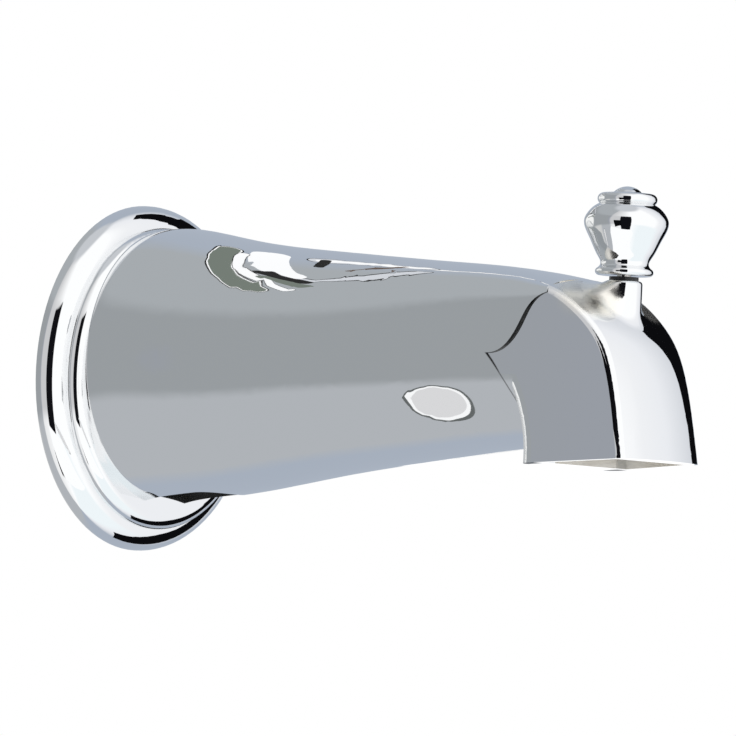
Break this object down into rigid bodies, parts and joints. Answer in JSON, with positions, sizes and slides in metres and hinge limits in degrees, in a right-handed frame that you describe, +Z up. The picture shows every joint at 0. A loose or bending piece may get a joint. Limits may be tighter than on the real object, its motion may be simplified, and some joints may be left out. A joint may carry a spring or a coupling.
{
  "type": "bath spout",
  "caption": "Wall-mounted bath spout with a stepped round flange, a tapering barrel, a square elbow nose and a pull-up diverter knob on a sliding gate.",
  "frame": {"origin": "on the pipe axis at the plane of the flange's back face, which lies on the wall", "axes": "+X out from the wall along the spout, +Z up towards the knob, +Y completes the right-handed frame"},
  "size_m": [0.1502, 0.082, 0.0869],
  "materials": {
    "polished_chrome": "polished plating over cast zinc",
    "knob_chrome": "polished plating",
    "bushing_plastic": "black moulded plastic",
    "stem_steel": "drawn stainless rod",
    "gate_plastic": "moulded acetal",
    "seal_rubber": "black rubber",
    "adapter_brass": "turned brass",
    "screw_steel": "plain steel"
  },
  "bodies": {
    "spout": {"spout_body": "polished_chrome", "inlet_adapter": "adapter_brass", "pipe_o_rings": "seal_rubber", "adapter_o_ring": "seal_rubber", "set_screw": "screw_steel", "stem_bushing": "bushing_plastic"},
    "diverter": {"knob": "knob_chrome", "stem": "stem_steel", "gate": "gate_plastic", "gate_seal": "seal_rubber"}
  },
  "joints": [
    {"name": "diverter_lift", "type": "slide", "parent": "spout", "child": "diverter", "axis": [0, 0, 1], "range_m": [0, 0.011]}
  ]
}
